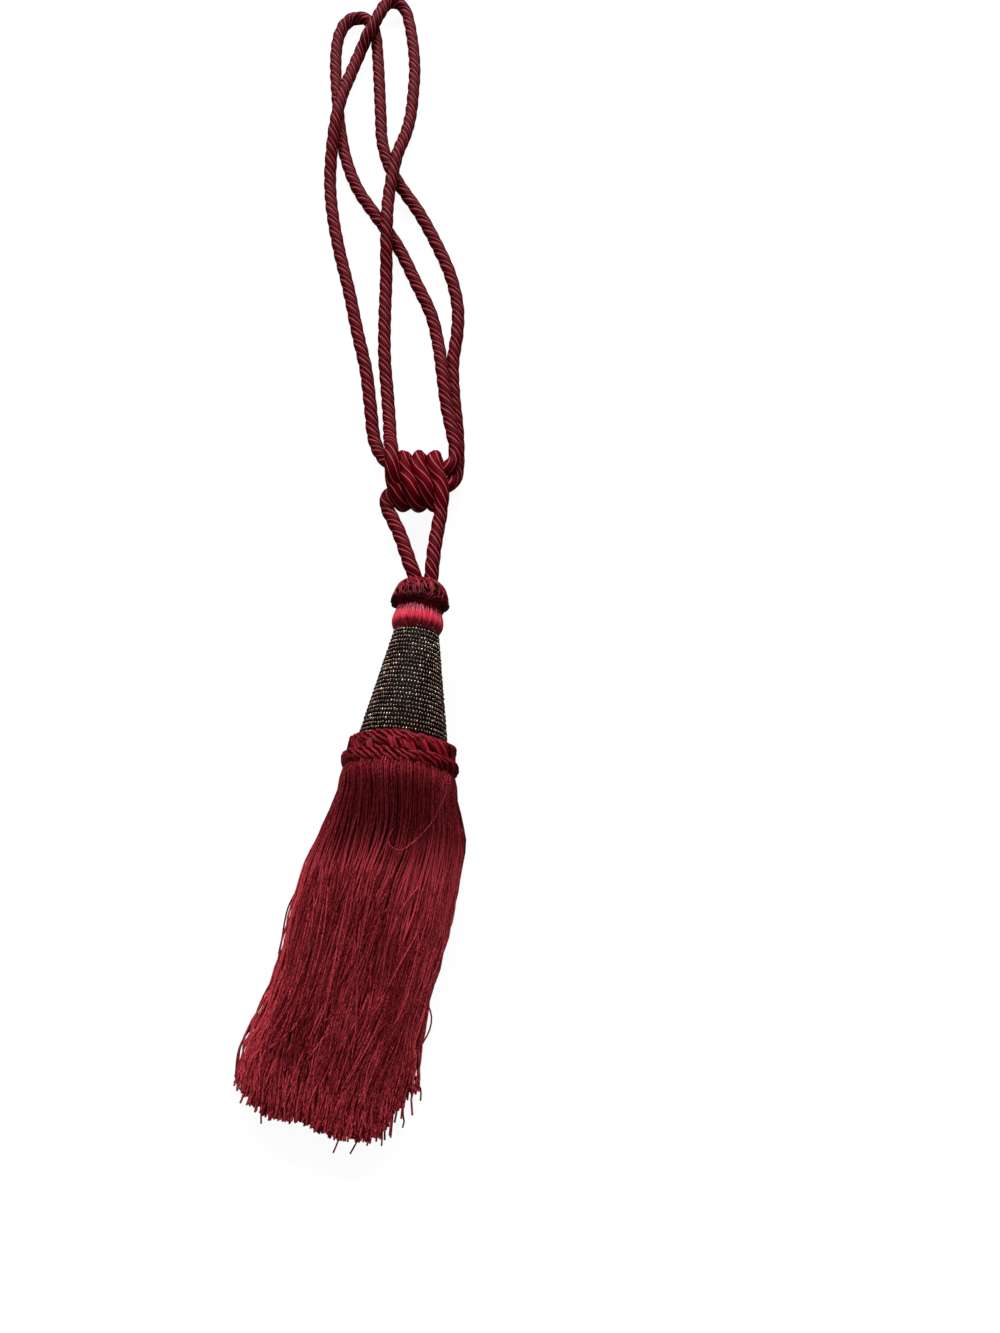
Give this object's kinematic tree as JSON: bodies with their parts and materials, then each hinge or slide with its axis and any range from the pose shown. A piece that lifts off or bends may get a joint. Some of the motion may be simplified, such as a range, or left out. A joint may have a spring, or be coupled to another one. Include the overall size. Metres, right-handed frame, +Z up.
{
  "type": "curtain tieback tassel",
  "caption": "Curtain tieback: a tassel with beaded cone head, satin neck, plaited cap and collar and thread skirt, on a knotted twisted rope that makes two long loops.",
  "frame": {"origin": "on the surface it lies on, under the middle of the tassel without its rope", "axes": "+Y from the skirt towards the rope's loops, +Z up from the surface, +X to the right seen from above with the loops away"},
  "size_m": [0.1141, 0.7505, 0.0597],
  "materials": {
    "beads": "iris-coated glass seed beads, dark bronze with olive, gold and purple",
    "satin": "glossy bright red silk threads laid lengthwise",
    "plait": "plaited crimson viscose cord",
    "skirt_thread": "cut crimson chainette threads, soft sheen",
    "rope": "three-ply twisted crimson viscose rope, soft sheen"
  },
  "bodies": {
    "root": {"bead_cone": "beads", "satin_neck": "satin", "cap_plait": "plait", "collar_plait": "plait", "skirt": "skirt_thread", "rope": "rope"}
  },
  "joints": []
}
